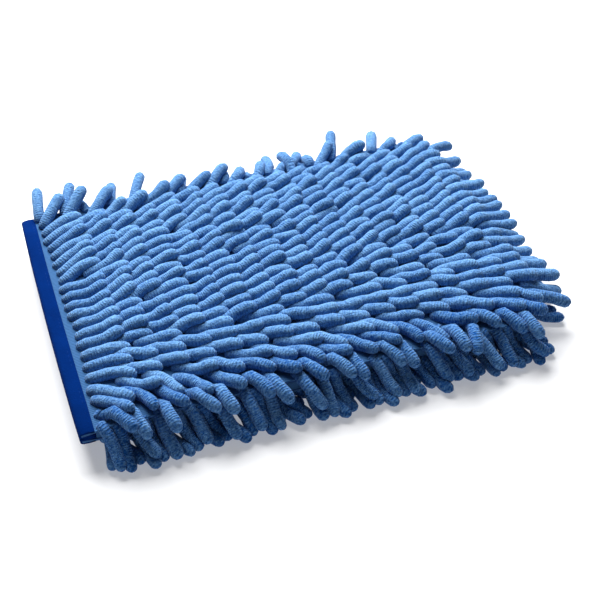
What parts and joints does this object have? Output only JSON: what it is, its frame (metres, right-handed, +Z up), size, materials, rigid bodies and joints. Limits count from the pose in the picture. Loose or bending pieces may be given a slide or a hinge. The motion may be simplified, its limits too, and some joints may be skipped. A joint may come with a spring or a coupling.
{
  "type": "chenille wash mitt",
  "caption": "Flat two-sided wash mitt: a cloth bag for the hand with rows of soft chenille fingers on both faces and a folded tape round the open mouth.",
  "frame": {"origin": "centre of the footprint of the whole mitt, on the surface that it lies on", "axes": "+X from the open mouth to the closed end, +Y across the mitt, +Z up out of the upper face"},
  "size_m": [0.3029, 0.2292, 0.0373],
  "materials": {
    "pile": "soft chenille yarn, matt",
    "backing_cloth": "knitted cloth, matt",
    "lining": "plain mesh cloth, matt",
    "seam_cloth": "overlocked cloth edge, matt",
    "binding": "dense tape, matt",
    "thread": "polyester thread"
  },
  "bodies": {
    "lower_half": {"closing_seam": "seam_cloth", "closing_seam_stitches": "thread", "lower_backing": "backing_cloth", "lower_cuff_stitches": "thread", "lower_cuff_tape": "binding", "lower_lining": "lining", "lower_pile_row_01": "pile", "lower_pile_row_02": "pile", "lower_pile_row_03": "pile", "lower_pile_row_04": "pile", "lower_pile_row_05": "pile", "lower_pile_row_06": "pile", "lower_pile_row_07": "pile", "lower_pile_row_08": "pile", "lower_pile_row_09": "pile", "lower_pile_row_10": "pile", "lower_pile_row_11": "pile", "lower_pile_row_12": "pile", "lower_pile_row_13": "pile", "lower_pile_row_14": "pile", "lower_pile_row_15": "pile", "lower_pile_row_16": "pile", "lower_pile_row_17": "pile", "lower_pile_row_18": "pile"},
    "upper_half": {"upper_backing": "backing_cloth", "upper_cuff_stitches": "thread", "upper_cuff_tape": "binding", "upper_lining": "lining", "upper_pile_row_01": "pile", "upper_pile_row_02": "pile", "upper_pile_row_03": "pile", "upper_pile_row_04": "pile", "upper_pile_row_05": "pile", "upper_pile_row_06": "pile", "upper_pile_row_07": "pile", "upper_pile_row_08": "pile", "upper_pile_row_09": "pile", "upper_pile_row_10": "pile", "upper_pile_row_11": "pile", "upper_pile_row_12": "pile", "upper_pile_row_13": "pile", "upper_pile_row_14": "pile", "upper_pile_row_15": "pile", "upper_pile_row_16": "pile", "upper_pile_row_17": "pile", "upper_pile_row_18": "pile"}
  },
  "joints": [
    {"name": "mouth_opening", "type": "hinge", "parent": "lower_half", "child": "upper_half", "pos_m": [0.13375, 0, 0.01737], "axis": [0, 1, 0], "range_deg": [0, 8]}
  ]
}
